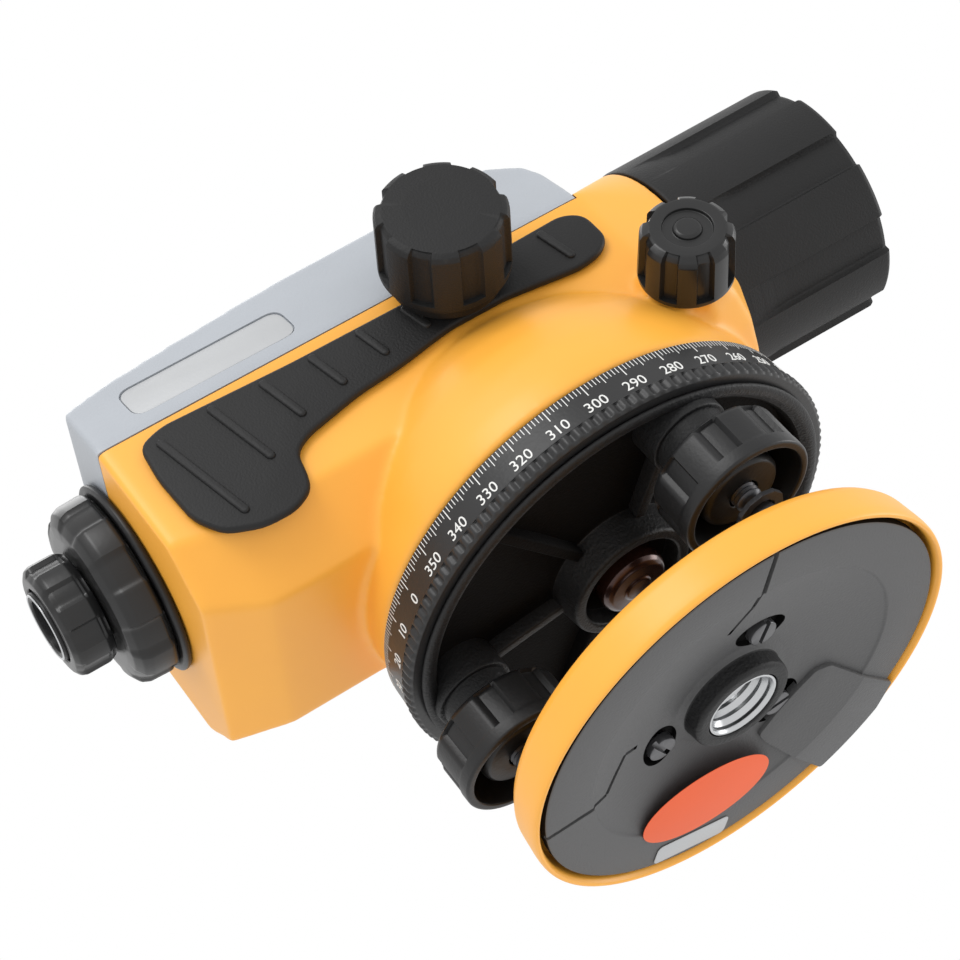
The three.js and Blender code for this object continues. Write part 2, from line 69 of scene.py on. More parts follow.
# The camera, fitted to the round parts that the photograph shows.
CAMERA_RIGHT = (0.8246590758681381, 0.040267607980283115, -0.5641949382401927)
CAMERA_DOWN = (-0.4720301117307338, 0.5985714831290956, -0.6472246543543486)
CAMERA_AHEAD = (0.3116488122996455, 0.8000566850743648, 0.5126249296123231)
CAMERA_PLACE = (-0.18320, -0.44218, -0.20392)
CAMERA_LENS = 95.27
SKY_ON_OBJECT = 0.92


# ---------------------------------------------------------------- materials
def material(name, color, rough, metallic=0.0, grain=900, bump=0.12, vary=0.06, wear=0.0, coat=0.0,
             speck=0.0, shine=0.5):
    """Procedural surface: grain bump, uneven gloss, colour drift, pale worn edges and dust specks."""
    mat = bpy.data.materials.new(name)
    mat.use_nodes = True
    nodes, links = mat.node_tree.nodes, mat.node_tree.links
    bsdf = nodes["Principled BSDF"]
    bsdf.inputs["Metallic"].default_value = metallic
    bsdf.inputs["Coat Weight"].default_value = coat
    bsdf.inputs["Coat Roughness"].default_value = 0.25
    bsdf.inputs["Specular IOR Level"].default_value = shine
    coords = nodes.new("ShaderNodeTexCoord")

    def noise(scale, detail):
        node = nodes.new("ShaderNodeTexNoise")
        node.inputs["Scale"].default_value = scale
        node.inputs["Detail"].default_value = detail
        links.new(coords.outputs["Object"], node.inputs["Vector"])
        return node.outputs["Fac"]

    def remap(source, from_min, from_max, to_min, to_max):
        node = nodes.new("ShaderNodeMapRange")
        node.inputs["From Min"].default_value = from_min
        node.inputs["From Max"].default_value = from_max
        node.inputs["To Min"].default_value = to_min
        node.inputs["To Max"].default_value = to_max
        links.new(source, node.inputs["Value"])
        return node.outputs["Result"]

    def over(factor, under, top):
        node = nodes.new("ShaderNodeMix")
        node.data_type = "RGBA"
        links.new(factor, node.inputs["Factor"])
        links.new(under, node.inputs["A"])
        node.inputs["B"].default_value = (*top, 1)
        return node.outputs["Result"]

    drift = noise(45, 4)
    ramp = nodes.new("ShaderNodeValToRGB")
    ramp.color_ramp.elements[0].position = 0.3
    ramp.color_ramp.elements[0].color = (*[c * (1 - vary) for c in color], 1)
    ramp.color_ramp.elements[1].position = 0.7
    ramp.color_ramp.elements[1].color = (*[min(1, c * (1 + vary)) for c in color], 1)
    links.new(drift, ramp.inputs["Fac"])
    tint = ramp.outputs["Color"]
    if wear:
        edges = nodes.new("ShaderNodeNewGeometry").outputs["Pointiness"]
        tint = over(remap(edges, 0.52, 0.62, 0, wear), tint, [min(1, c * 1.5 + 0.05) for c in color])
    if speck:
        tint = over(remap(noise(1500, 1), 0.74, 0.8, 0, speck), tint, (0.5, 0.5, 0.5))
    links.new(tint, bsdf.inputs["Base Color"])
    gloss = remap(drift, 0, 1, max(0.02, rough - 0.07), min(1, rough + 0.09))
    links.new(gloss, bsdf.inputs["Roughness"])
    relief = nodes.new("ShaderNodeBump")
    relief.inputs["Strength"].default_value = bump
    relief.inputs["Distance"].default_value = 0.0004
    links.new(noise(grain, 3), relief.inputs["Height"])
    links.new(relief.outputs["Normal"], bsdf.inputs["Normal"])
    return mat


def glass_material(name, tint, coating):
    """Clear glass whose colour turns from tint, seen face on, to coating at a slant."""
    mat = bpy.data.materials.new(name)
    mat.use_nodes = True
    nt = mat.node_tree
    bsdf = nt.nodes["Principled BSDF"]
    bsdf.inputs["Transmission Weight"].default_value = 0.9
    bsdf.inputs["IOR"].default_value = 1.52
    bsdf.inputs["Roughness"].default_value = 0.03
    facing = nt.nodes.new("ShaderNodeLayerWeight")
    facing.inputs["Blend"].default_value = 0.35
    ramp = nt.nodes.new("ShaderNodeValToRGB")
    ramp.color_ramp.elements[0].color = (*tint, 1)
    ramp.color_ramp.elements[1].color = (*coating, 1)
    nt.links.new(facing.outputs["Facing"], ramp.inputs["Fac"])
    nt.links.new(ramp.outputs["Color"], bsdf.inputs["Base Color"])
    return mat


YELLOW = material("paint_yellow", (1.0, 0.45, 0.052), 0.42, grain=700, bump=0.05, vary=0.025,
                  coat=0.08, wear=0.12)
GREY = material("paint_grey", (0.415, 0.44, 0.475), 0.42, grain=1400, bump=0.16, vary=0.03,
                wear=0.2, speck=0.12)
RUBBER = material("rubber_black", (0.0095, 0.0095, 0.0098), 0.55, grain=1900, bump=0.3,
                  vary=0.15, wear=0.12, shine=0.36)
CAST = material("casting_black", (0.009, 0.009, 0.0095), 0.5, grain=1500, bump=0.5, vary=0.12,
                wear=0.2, shine=0.36)
# Painted shade: a near-black that stands in for the shadow in recesses, undersides and gaps.
PAINTED_SHADE = material("casting_painted_shade", (0.0035, 0.0033, 0.0033), 0.75, grain=1500, bump=0.4,
                vary=0.12, shine=0.12)
COVER = material("cover_black", (0.085, 0.085, 0.086), 0.5, grain=1700, bump=0.35, vary=0.05)
SCREW = material("screw_grey", (0.12, 0.12, 0.125), 0.32, 0.7, grain=700, bump=0.12, vary=0.12,
                 wear=0.3)
PLASTIC = material("plastic_black", (0.010, 0.010, 0.0105), 0.38, grain=1200, bump=0.12,
                   vary=0.12, wear=0.12, shine=0.4)
GLOSS = material("plastic_gloss", (0.012, 0.012, 0.0122), 0.3, grain=900, bump=0.05, vary=0.1,
                 coat=0.1, wear=0.1,
                 shine=0.4)
CIRCLE = material("circle_black", (0.022, 0.022, 0.0225), 0.36, grain=1300, bump=0.1, vary=0.1,
                  shine=0.4)
DARK_STEEL = material("steel_blackened", (0.07, 0.07, 0.075), 0.34, 0.8, grain=700, bump=0.12,
                      vary=0.12, wear=0.3)
STEEL = material("steel_turned", (0.60, 0.61, 0.62), 0.28, 1.0, grain=600, bump=0.12, vary=0.08)
BRASS = material("brass_turned", (0.62, 0.45, 0.18), 0.3, 1.0, grain=600, bump=0.12, vary=0.08)
BRONZE = material("bronze_axis", (0.055, 0.022, 0.016), 0.2, 0.6, grain=500, bump=0.08, vary=0.2,
                  coat=0.4)
ORANGE = material("film_orange", (0.88, 0.125, 0.03), 0.55, grain=1800, bump=0.06, vary=0.03)
SILVER = material("plate_silver", (0.50, 0.51, 0.52), 0.38, 0.3, grain=1500, bump=0.08, vary=0.03)
WHITE = material("paint_white", (0.80, 0.80, 0.78), 0.5, grain=1500, bump=0.05, vary=0.03)
GLASS = glass_material("glass_plain", (0.92, 0.96, 0.98), (0.75, 0.85, 0.95))
COATED = glass_material("glass_coated", (0.55, 0.75, 0.85), (0.35, 0.2, 0.65))


# ---------------------------------------------------------------- mesh tools
def link(mesh, name, mat, smooth=35):
    obj = bpy.data.objects.new(name, mesh)
    bpy.context.scene.collection.objects.link(obj)
    shade(obj, smooth)
    if mat:
        mesh.materials.clear()
        mesh.materials.append(mat)
    return obj


def shade(obj, angle=35):
    mesh = obj.data
    mesh.polygons.foreach_set("use_smooth", [True] * len(mesh.polygons))
    if angle:
        mesh.set_sharp_from_angle(angle=math.radians(angle))
    mesh.update()


def from_bmesh(bm, name, mat=None, smooth=35):
    bmesh.ops.recalc_face_normals(bm, faces=bm.faces)
    mesh = bpy.data.meshes.new(name)
    bm.to_mesh(mesh)
    bm.free()
    return link(mesh, name, mat, smooth)


def bake(obj, smooth=35):
    """Applies the object's modifiers to its mesh."""
    graph = bpy.context.evaluated_depsgraph_get()
    mesh = bpy.data.meshes.new_from_object(obj.evaluated_get(graph))
    mats = list(obj.data.materials)
    obj.modifiers.clear()
    obj.data = mesh
    mesh.materials.clear()
    for m in mats:
        mesh.materials.append(m)
    shade(obj, smooth)
    return obj


def drop(obj):
    bpy.data.objects.remove(obj, do_unlink=True)


def cut(obj, tool, operation="DIFFERENCE"):
    """A boolean that uses up its tool."""
    mod = obj.modifiers.new("cut", "BOOLEAN")
    mod.operation = operation
    mod.solver = "MANIFOLD"
    mod.object = tool
    bake(obj)
    drop(tool)
    return obj


def bevel(obj, width, segments=3, angle=40):
    mod = obj.modifiers.new("bevel", "BEVEL")
    mod.width = width * MM
    mod.segments = segments
    mod.limit_method = "ANGLE"
    mod.angle_limit = math.radians(angle)
    return bake(obj)


AXES = {
    "z": lambda r, a, h: (r * math.cos(a), r * math.sin(a), h),
    "x": lambda r, a, h: (h, r * math.cos(a), r * math.sin(a)),
    "y": lambda r, a, h: (r * math.sin(a), h, r * math.cos(a)),
}


def with_share(profile):
    """Rows of (r, h, recess share); a row of two numbers has no recess."""
    return [(*p, 0.0) if len(p) == 2 else p for p in profile]


def bend(a, c, b, back, steps):
    """The short arc that takes the place of the corner c between a and b."""
    start = c + (a - c).normalized() * back
    end = c + (b - c).normalized() * back
    for k in range(steps + 1):
        t = k / steps
        yield start * (1 - t) ** 2 + c * 2 * t * (1 - t) + end * t * t


def rounded(profile, radius=0.4, closed=True, steps=3):
    """The profile with each corner turned into a short arc."""
    rows = with_share(profile)
    out = []
    n = len(rows)
    for i, p in enumerate(rows):
        if not closed and i in (0, n - 1):
            out.append(p)
            continue
        a, b = Vector(rows[i - 1][:2]), Vector(rows[(i + 1) % n][:2])
        c = Vector(p[:2])
        la, lb = (a - c).length, (b - c).length
        cut_back = min(radius, la * 0.45, lb * 0.45)
        if cut_back < 0.02:
            out.append(p)
            continue
        out += [(q.x, q.y, p[2]) for q in bend(a, c, b, cut_back, steps)]
    return out


def lathe(name, profile, mat, axis="z", at=(0, 0, 0), segments=96, radius=0.4, wave=None,
          smooth=35):
    """Turned solid; wave(angle, share) moves a row's radius, for grips and knurls."""
    closed = profile[0][0] > 1e-6
    rows = rounded(profile, radius, closed) if radius else with_share(profile)
    place = AXES[axis]
    bm = bmesh.new()
    rings = []
    for r, h, share in rows:
        if r < 1e-6:
            v = bm.verts.new(Vector(place(0, 0, h)) * MM + Vector(at) * MM)
            rings.append([v] * segments)
            continue
        ring = []
        for k in range(segments):
            a = 2 * math.pi * k / segments
            rr = r + (wave(a, share) if wave else 0)
            ring.append(bm.verts.new(Vector(place(rr, a, h)) * MM + Vector(at) * MM))
        rings.append(ring)
    count = len(rings) if closed else len(rings) - 1
    for i in range(count):
        one, two = rings[i], rings[(i + 1) % len(rings)]
        for k in range(segments):
            j = (k + 1) % segments
            corners = []
            for v in (one[k], one[j], two[j], two[k]):
                if v not in corners:
                    corners.append(v)
            if len(corners) > 2:
                bm.faces.new(corners)
    return from_bmesh(bm, name, mat, smooth)


def bore(radius, start, end, axis, at, segments):
    """A plain round tool from start to end along an axis."""
    profile = [(0, start), (radius, start), (radius, end), (0, end)]
    return lathe("bore", profile, None, axis, at, segments, radius=0)


def tooth(lobes, depth, share, soft, phase=0.0):
    """Recesses between raised lobes round a grip."""
    def wave(a, mod):
        t = ((a / (2 * math.pi) * lobes) + phase) % 1.0
        edge = min(abs(t - share), abs(t - 1.0), abs(t))
        inside = t > share
        fall = min(1.0, edge / soft) if inside else 0.0
        return -depth * mod * fall
    return wave


def prism(name, outline, low, high, mat, axis="z", edge=0.4, segments=3):
    bm = bmesh.new()
    place = {"z": lambda u, v, w: (u, v, w), "y": lambda u, v, w: (u, w, v)}[axis]
    base = [bm.verts.new(Vector(place(u, v, low)) * MM) for u, v in outline]
    top = [bm.verts.new(Vector(place(u, v, high)) * MM) for u, v in outline]
    bm.faces.new(base)
    bm.faces.new(list(reversed(top)))
    n = len(outline)
    for i in range(n):
        bm.faces.new((base[i], top[i], top[(i + 1) % n], base[(i + 1) % n]))
    obj = from_bmesh(bm, name, mat)
    return bevel(obj, edge, segments) if edge else obj


def box(name, x0, x1, y0, y1, z0, z1, mat=None, edge=0.3):
    return prism(name, [(x0, y0), (x1, y0), (x1, y1), (x0, y1)], z0, z1, mat, edge=edge)


def settle(obj, x, y, z, degrees):
    """Turns the mesh about z and then moves it."""
    obj.data.transform(Matrix.Rotation(math.radians(degrees), 4, "Z"))
    obj.data.transform(Matrix.Translation(Vector((x, y, z)) * MM))


def hull(points, name="hull"):
    bm = bmesh.new()
    for p in points:
        bm.verts.new(Vector(p) * MM)
    bmesh.ops.convex_hull(bm, input=bm.verts)
    loose = [v for v in bm.verts if not v.link_faces]
    bmesh.ops.delete(bm, geom=loose, context="VERTS")
    return from_bmesh(bm, name)


def join(name, objects, mat=None, smooth=35):
    """One mesh from several overlapping or separate closed pieces."""
    bm = bmesh.new()
    mats = []
    for obj in objects:
        start = len(bm.faces)
        bm.from_mesh(obj.data)
        own = list(obj.data.materials)
        mats += [m for m in own if m not in mats]
        bm.faces.ensure_lookup_table()
        for face in bm.faces[start:]:
            face.material_index = mats.index(own[face.material_index]) if own and not mat else 0
        drop(obj)
    mesh = bpy.data.meshes.new(name)
    bm.to_mesh(mesh)
    bm.free()
    for m in mats:
        mesh.materials.append(m)
    return link(mesh, name, mat, smooth)


def melt(obj, voxel, rounds):
    """Fuses overlapping pieces and softens their edges, as a casting's edges are."""
    mod = obj.modifiers.new("remesh", "REMESH")
    mod.mode = "VOXEL"
    mod.voxel_size = voxel * MM
    if rounds:
        soft = obj.modifiers.new("smooth", "SMOOTH")
        soft.factor = 0.5
        soft.iterations = rounds
    return bake(obj, 0)


def set_piece(obj, body, slot, *nodes):
    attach(obj, body)
    if nodes:
        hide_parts(*nodes)
    return obj


def foot_point(i, radius=FOOT_PITCH_R):
    a = FOOT_ANGLE + i * 2 * math.pi / 3
    return (radius * math.cos(a), radius * math.sin(a))


def arc(cx, cy, r, a0, a1, n=6):
    return [(cx + r * math.cos(math.radians(a0 + (a1 - a0) * k / n)),
             cy + r * math.sin(math.radians(a0 + (a1 - a0) * k / n))) for k in range(n + 1)]


def soft_outline(points, radius, steps=6):
    out = []
    n = len(points)
    for i, p in enumerate(points):
        a, b, c = Vector(points[i - 1]), Vector(points[(i + 1) % n]), Vector(p)
        back = min(radius, (a - c).length * 0.48, (b - c).length * 0.48)
        out += [(q.x, q.y) for q in bend(a, c, b, back, steps)]
    return out


def soft_rectangle(x0, x1, half, radius):
    return soft_outline([(x0, -half), (x1, -half), (x1, half), (x0, half)], radius)


def oval(rx, ry, count):
    half = count // 2
    return [(rx * math.cos(t / half * math.pi), ry * math.sin(t / half * math.pi))
            for t in range(count)]


# ---------------------------------------------------------------- base
def build_base():
    ring = lathe("ring_shell", [
        (50.3, 1.4), (51.0, 0), (51.7, 0), (52, 0.9), (52, 2.4), (51.3, 8.4), (50.3, 10.1),
        (49.2, 10.6), (9.2, 10.6), (9.2, 8.2), (48.4, 8.2), (50.2, 6.4)],
        YELLOW, segments=160, radius=0.6)
    set_piece(ring, "base", "yellow_shell", "base_ring")
    cover = lathe("under_cover", [
        (8.8, 0.4), (11.1, 0.4), (11.8, 1.0), (12.0, 4.5), (14.2, 5.1), (19, 4.6), (28, 2.9),
        (37.2, 1.1), (37.6, 0.6), (49.2, 0.6), (49.2, 3.2), (40, 4.2), (20, 7.4), (14, 8.1),
        (8.8, 8.1)], COVER, segments=128, radius=0.45)
    for i in range(3):
        x, y = foot_point(i, SCREW_PITCH_R)
        pocket = prism("pocket", oval(4.6, 6.3, 32), 0, 6.4, None, edge=0)
        settle(pocket, x, y, 0, math.degrees(FOOT_ANGLE) + i * 120)
        cut(cover, pocket)
    for one, two in (((5.6, -50.0), (1.7, -32.5)), ((1.7, -32.5), (-2.8, -25.1)),
                     ((-50, 4.0), (-33.5, 3.6)), ((-33.5, 3.6), (-28.2, -5.5)),
                     ((-28.2, -5.5), (-24.8, -4.3))):
        cut(cover, groove(one, two, 0.75, 0.8))
    # A raised plate on the under-cover; its outer end is a tab over the ring.
    plate = lathe("cover_plate", [
        (13.6, 4.1), (19, 3.6), (28, 1.9), (37.4, 0.0), (38, -0.15), (52.4, -0.15), (52.4, 2.7),
        (40, 3), (13.6, 6.2)], COVER, segments=144, radius=0.2)
    outline = [(41.6, 28.6), (24.9, 9.5), (21.5, 9.4), (7.2, 21.7), (8.4, 24.6), (23.2, 46.6), (34, 44)]
    cut(plate, prism("outline", soft_outline(outline, 0.8), -1, 7, None, edge=0), "INTERSECT")
    bevel(plate, 0.22, 2, 50)
    # The boss, the pockets and the rim's wall are painted darker than the broad face: painted shade where they
    # lie in shadow.
    cover.data.materials.clear()
    for m in (COVER, CAST, PAINTED_SHADE):
        cover.data.materials.append(m)
    for face in cover.data.polygons:
        out = math.hypot(face.center.x, face.center.y) / MM
        painted_shade_wall = abs(face.normal.z) < 0.35
        if out < 12.2:
            face.material_index = 1
        elif (painted_shade_wall and out > 48.5) or (12.5 < out < 26 and (painted_shade_wall or face.center.z > 6 * MM)):
            face.material_index = 2
        else:
            face.material_index = 0
    cover = join("under_cover_all", [cover, plate])
    set_piece(cover, "base", "black_plastic", "base_cover")
    rows = [(8.0, 0.7), (8.5, 0.7), (8.5, 10.9), (13, 10.9), (13, 12.2), (7.9, 12.2)]
    turns, half_pitch = 4, 1.155
    for k in range(turns * 2 + 1):
        rows.append((7.85 if k % 2 == 0 else 6.95, 11.6 - k * half_pitch))
    rows.append((7.6, 1.5))
    insert = lathe("tripod_thread", rows, STEEL, segments=64, radius=0.12, smooth=25)
    set_piece(insert, "base", "steel", "tripod_thread_insert")
    for i in range(3):
        x, y = foot_point(i, SCREW_PITCH_R)
        head = lathe(f"cover_screw_{i + 1}", [
            (0, 3.3), (3.2, 3.3), (3.2, 5.4), (1.4, 5.4), (1.4, 9.8), (0, 9.8)],
            SCREW, at=(x, y, 0), segments=40, radius=0.3)
        slot = box("slot", -0.6, 0.6, -5, 5, 2, 4.4, edge=0)
        settle(slot, x, y, 0, 20 + i * 65)
        cut(head, slot)
        set_piece(head, "base", "steel", f"base_screw_{i + 1}")
    disc = prism("orange_disc", oval(16.8, 10.4, 64), 0, 0.16, ORANGE, edge=0.05)
    settle(disc, -8.4, 28.9, 0.34, 9)
    set_piece(disc, "base", "orange_label", "caution_disc")
    plate = prism("blank_plate", soft_rectangle(-9.9, 9.9, 2.9, 1.6), 0, 0.2, SILVER, edge=0.06)
    settle(plate, -12.0, 43.0, 0.3, 15.5)
    set_piece(plate, "base", "silver_label", "serial_plate")


def dish(r):
    """Height of the under-cover's face at a radius."""
    if r < 19:
        return 4.6
    return 4.6 - (r - 19) / 18.2 * 3.5 if r < 37.4 else 0.6


def groove(one, two, half, depth):
    """The tool for a straight groove in the under-cover's face between two points."""
    side = Vector((two[1] - one[1], one[0] - two[0])).normalized() * half
    points = []
    for x, y in (one, two):
        top = dish(math.hypot(x, y)) + depth
        for s in (-1, 1):
            points += [(x + side.x * s, y + side.y * s, -1),
                       (x + side.x * s * 0.7, y + side.y * s * 0.7, top)]
    return hull(points, "groove")


# ---------------------------------------------------------------- tribrach and foot screws
def build_tribrach():
    parts = [lathe("bowl", [
        (50.4, 40.3), (51.3, 40.8), (51.3, 41.6), (49.3, 41.7), (49.3, 50), (8.4, 50), (8.4, 44),
        (12, 43.2), (12, 38.4), (12.5, 38), (14.4, 38), (14.8, 38.6), (15.6, 45.8), (30, 46.2),
        (46.6, 45.6), (47, 42), (49.2, 40.3)], CAST, segments=144, radius=0.7)]
    # The deck between the ribs and the rim's inner wall lie in the dark; the near-black put on them is painted
    # shade.
    parts[0].data.materials.append(PAINTED_SHADE)
    for face in parts[0].data.polygons:
        out = math.hypot(face.center.x, face.center.y)
        painted_shade_deck = face.normal.z < -0.3 and face.center.z > 0.043
        painted_shade_wall = 0.0465 < out < 0.0478 and face.center.z > 0.0415
        if painted_shade_deck or painted_shade_wall:
            face.material_index = 1
    for i in range(6):
        # Every other rib runs to a foot boss; those between run on to the rim and get the painted shade.
        long = i % 2
        rib = box("rib", 14.8 + long, 34 + long * 13.4, -1.3, 1.3, 42.6, 46.8,
                  PAINTED_SHADE if long else CAST, edge=0.5)
        rib.data.transform(Matrix.Rotation(FOOT_ANGLE + math.radians(i * 60), 4, "Z"))
        parts.append(rib)
    for i in range(3):
        x, y = foot_point(i)
        parts.append(lathe("boss", [(4.9, 34.6), (7.6, 34.6), (8.2, 41), (8.8, 46.4), (4.9, 46.4)],
                           CAST, at=(x, y, 0), segments=48, radius=0.6))
        parts.append(lathe("boss_step", [(4.9, 38.5), (8.9, 38.5), (9.0, 46.4), (4.9, 46.4)],
                           CAST, at=(x, y, 0), segments=48))
    body = join("tribrach_casting", parts)
    set_piece(body, "tribrach", "black_casting", "tribrach_body")
    wave = tooth(8, 1.15, share=0.55, soft=0.035)
    for i in range(3):
        x, y = foot_point(i)
        cup = lathe(f"foot_grip_{i + 1}", [
            (3.4, 33, 0), (10.4, 33, 0), (12.6, 32.4, 0), (14.4, 31.6, 0.2), (14.9, 30.6, 1),
            (14.9, 22.8, 1), (15.0, 22.2, 0), (15.0, 19.9, 0), (14.6, 19.5, 0), (13.2, 19.5, 0),
            (12.4, 30.4, 0), (9.6, 30.6, 0), (9.0, 22.4, 0), (8.2, 21.4, 0), (3.4, 21.2, 0)],
            PLASTIC, at=(x, y, 0), segments=128, radius=0.35, wave=wave)
        set_piece(cup, f"foot_knob_{i + 1}_body", "black_plastic", f"foot_knob_{i + 1}")
        rows = [(0, 11.0), (1.6, 11.4), (2.75, 12.6), (3.2, 14.2), (2.9, 15.6), (2.2, 16.7),
                (1.9, 17.2), (1.9, 18.4), (2.9, 19.2)]
        z, pitch = 19.6, 0.9
        while z < 43:
            rows += [(3.0, z), (2.55, z + pitch / 2)]
            z += pitch
        rows += [(2.9, 43.2), (0, 43.6)]
        pin = lathe(f"foot_screw_pin_{i + 1}", rows, DARK_STEEL, at=(x, y, 0), segments=40, radius=0,
                    smooth=50)
        set_piece(pin, f"foot_spindle_{i + 1}_body", "steel", f"foot_spindle_{i + 1}")


# ---------------------------------------------------------------- graduated circle
def circle_radius(z):
    return CIRCLE_TOP_R + (CIRCLE_TOP_Z - z) / CIRCLE_BAND * CIRCLE_FLARE


def build_circle():
    def knurl(a, share):
        return -0.65 * share * (0.5 + 0.5 * math.cos(a * KNURL_TEETH)) ** 1.3
    ring = lathe("circle_ring", [
        (49.8, 42, 0), (53.0, 42, 0), (53.9, 42.5, 0.7), (54.0, 43.0, 1), (54.0, 44.6, 1),
        (53.9, 45.0, 0.6), (53.5, 45.2, 0), (53.05, 52.8, 0), (52.6, 53.2, 0), (49.8, 53.2, 0)],
        CIRCLE, segments=1200, radius=0.15, wave=knurl, smooth=50)
    set_piece(ring, "circle", "circle_black", "horizontal_circle")
    bm = bmesh.new()
    for k in range(360):
        long = 2.9 if k % 10 == 0 else (2.35 if k % 5 == 0 else 1.6)
        a = math.radians(CIRCLE_ZERO_DEG + k)
        half = 0.0016 if k % 10 else 0.0021
        top, low = TICK_TOP_Z, TICK_TOP_Z - long
        v = []
        for rr in (-0.15, 0.035):
            for z in (low, top):
                for s in (-1, 1):
                    r = circle_radius(z) + rr
                    side = a + s * half
                    v.append(bm.verts.new(Vector((r * math.cos(side), r * math.sin(side), z)) * MM))
        for f in ((0, 1, 3, 2), (4, 6, 7, 5), (0, 4, 5, 1), (2, 3, 7, 6), (0, 2, 6, 4),
                  (1, 5, 7, 3)):
            bm.faces.new([v[i] for i in f])
    ticks = from_bmesh(bm, "circle_ticks", WHITE, 20)
    digits = []
    for k in range(36):
        curve = bpy.data.curves.new("digit", "FONT")
        curve.body = str(k * 10)
        curve.size = DIGIT_SIZE * MM
        curve.align_x = "CENTER"
        curve.align_y = "CENTER"
        curve.extrude = 0.09 * MM
        curve.resolution_u = 3
        obj = bpy.data.objects.new("digit", curve)
        bpy.context.scene.collection.objects.link(obj)
        graph = bpy.context.evaluated_depsgraph_get()
        mesh = bpy.data.meshes.new_from_object(obj.evaluated_get(graph))
        # The flat number is wrapped round the band.
        a0 = math.radians(CIRCLE_ZERO_DEG - k * 10)
        for v in mesh.vertices:
            z = DIGIT_Z + v.co.y / MM
            r = circle_radius(z) - 0.02 + v.co.z / MM
            a = a0 + (v.co.x / MM) / DIGIT_R
            v.co = Vector((r * math.cos(a), r * math.sin(a), z)) * MM
        drop(obj)
        digits.append(link(mesh, "digits", WHITE, 20))
    marks = join("circle_marks", [ticks] + digits, WHITE, 20)
    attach(marks, "circle")


# ---------------------------------------------------------------- housing
def section(x, bottom_half, bottom_z, half, shoulder_z, top_z):
    """Six points of the housing's outline across the telescope."""
    out = []
    for s in (-1, 1):
        out += [(x, s * bottom_half, bottom_z), (x, s * half, shoulder_z), (x, s * half, top_z)]
    return out


def collar(x, radius, n=72):
    turn = [2 * math.pi * k / n for k in range(n)]
    return [(x, radius * math.cos(a), SIGHT_Z + radius * math.sin(a)) for a in turn]


def housing_form(inset, top, voxel, rounds):
    """The housing's outer form, or with an inset the cavity inside it."""
    half = 35 - inset
    sides = (22.6 - inset, 63.7 + inset, half, 77)
    bulk = hull(section(-84 + inset, 25 - inset, 68.7 + inset, half, 80, top)
                + section(-71, *sides, top) + section(34, *sides, top))
    front = hull(section(36.4, *sides, 109.4 - inset) + section(33.99, *sides, 109.4 - inset)
                 + collar(54.6 - inset, 28 - inset))
    dome = lathe("dome", [
        (0, 53.6 - inset * 2), (51.8 - inset, 53.6 - inset * 2), (51.4 - inset, 60),
        (50 - inset, 67), (47.6 - inset, 74), (44 - inset, 80.5),
        (39.6 - inset, 86.5 - inset / 2), (34 - inset, 91.5 - inset), (0, 91.5 - inset)],
        None, segments=144, radius=1.5)
    pieces = [bulk, front, dome]
    if not inset:
        for s in (-1, 1):
            pieces.append(lathe("boss", [
                (0, s * 16), (17, s * 16), (14.5, s * 28), (10.6, s * 36.4), (9.4, s * 37.4),
                (9.4, s * 39.7), (0, s * 39.7)], None, "y", TANGENT_AXIS, 8, radius=0))
    return melt(join("form", pieces), voxel, rounds)


def build_housing():
    outer = housing_form(0, 114, 0.8, 12)
    outer.data.materials.append(YELLOW)
    # The seam plane cuts the box; the round collar at the front stays whole, apart from what
    # the cover's own form takes out of it above the seam.
    cut(outer, box("seam", -120, 36, -70, 70, HOUSING_SEAM_Z, 150, edge=0))
    nose = cover_form(-0.25, 0.7, 13)
    cut(nose, box("seam", -120, 120, -70, 70, 80, HOUSING_SEAM_Z, edge=0))
    cut(outer, nose)
    inner = housing_form(2.6, 118, 1.5, 1)
    cut(outer, inner)
    for tool in (bore(25.3, 46, 70, "x", SIGHT, 96), bore(9.2, -90, -78, "x", SIGHT, 48),
                 bore(2.5, -60, -20, "y", FOCUS_AXIS, 32),
                 bore(2.9, -60, -15, "y", TANGENT_AXIS, 32),
                 bore(2.9, 15, 60, "y", TANGENT_AXIS, 32)):
        cut(outer, tool)
    outer.name = "housing_shell"
    shade(outer, 50)
    outer.data.materials.clear()
    outer.data.materials.append(YELLOW)
    set_piece(outer, "housing", "yellow_shell", "main_housing")


def cover_form(inset, voxel, rounds):
    """The cover's outer form with the raised part on its top, or with an inset its cavity."""
    low = 100
    points, hump = [], []
    side = 35.2 - inset
    for s in (-1, 1):
        points += [(-84 + inset, s * side, low), (-84 + inset, s * side, 109.2 - inset / 2)]
        for x, y, z in ((-83.7, 31.1, 124.8), (-72, 30.5, 127.4), (-35, 29.6, 130.8), (27, 29.3, 132.2)):
            points.append((x + inset * (x < -80), s * (y - inset), z - inset))
        points += [(35.8 - inset, s * (side - 0.2), low),
                   (35.8 - inset, s * (side - 0.2), 109.2),
                   (35.4 - inset, s * (32 - inset), 121),
                   (33.5 - inset, s * (30.7 - inset), 126.6 - inset),
                   (41.4 - inset, s * (19 - inset), 104),
                   (41.4 - inset, s * (19 - inset), 127 - inset)]
        hump += [(34 - inset, s * (19 - inset), 135.6 - inset),
                 (41.6 - inset, s * (17 - inset), 127.6 - inset),
                 (-36, s * (25 - inset), 119),
                 (-26 + inset, s * (19.6 - inset), 137 - inset),
                 (-20 + inset, s * (15 - inset), 139.9 - inset),
                 (28 - inset, s * (15 - inset), 138.6 - inset)]
    return melt(join("cover", [hull(points), hull(hump)]), voxel, rounds)


def ramp(grow):
    """The channel in front of the circular level's window."""
    half = 6 + grow
    points = []
    for s in (-1, 1):
        points += [(-27 + grow, s * half, 125.8 - grow), (-27 + grow, s * (half + 1.5), 142),
                   (-54 - grow, s * half, 131.9 - grow), (-54 - grow, s * (half + 1.5), 142)]
    return hull(points, "ramp")


